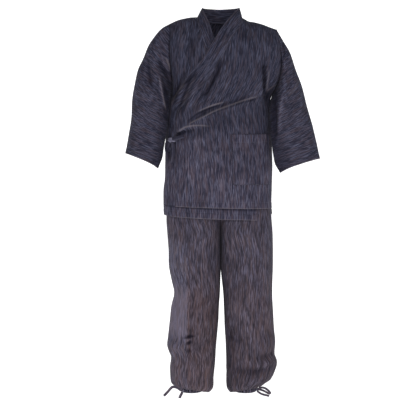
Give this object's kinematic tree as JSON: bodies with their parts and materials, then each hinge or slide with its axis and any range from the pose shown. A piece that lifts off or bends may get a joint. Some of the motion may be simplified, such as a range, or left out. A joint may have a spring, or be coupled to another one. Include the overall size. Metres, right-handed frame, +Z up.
{
  "type": "samue jacket and trousers set, worn",
  "caption": "Japanese work-wear set as worn: wrap jacket with a side tie, collar band and patch pocket, over trousers gathered and tied at the ankles.",
  "frame": {"origin": "on the shoulder line at the middle of the neck opening, where the wearer's shoulders carry the jacket", "axes": "+Z up, +Y towards the wearer's back, +X towards the wearer's left"},
  "size_m": [0.711, 0.2712, 1.4397],
  "materials": {
    "jacket_cloth": "matte woven cotton, dark navy with fine uneven grey-blue streaks along the length",
    "trouser_cloth": "the same matte streaked cotton, seen a little lighter",
    "tie_cloth": "narrow folded tape of the same cotton"
  },
  "bodies": {
    "root": {"body_left": "jacket_cloth", "body_right": "jacket_cloth", "collar": "jacket_cloth", "sleeve_left": "jacket_cloth", "sleeve_right": "jacket_cloth", "pocket": "jacket_cloth", "tie_knot": "tie_cloth", "tie_loop_front": "tie_cloth", "tie_loop_back": "tie_cloth", "tie_end_front": "tie_cloth", "tie_end_back": "tie_cloth", "trouser_front_left": "trouser_cloth", "trouser_back_left": "trouser_cloth", "trouser_front_right": "trouser_cloth", "trouser_back_right": "trouser_cloth", "waistband": "trouser_cloth", "ankle_casing_left": "trouser_cloth", "ankle_casing_right": "trouser_cloth", "ankle_knot_left": "tie_cloth", "ankle_loop_left": "tie_cloth", "ankle_end_left": "tie_cloth", "ankle_knot_right": "tie_cloth", "ankle_loop_right": "tie_cloth", "ankle_end_right": "tie_cloth"}
  },
  "joints": []
}
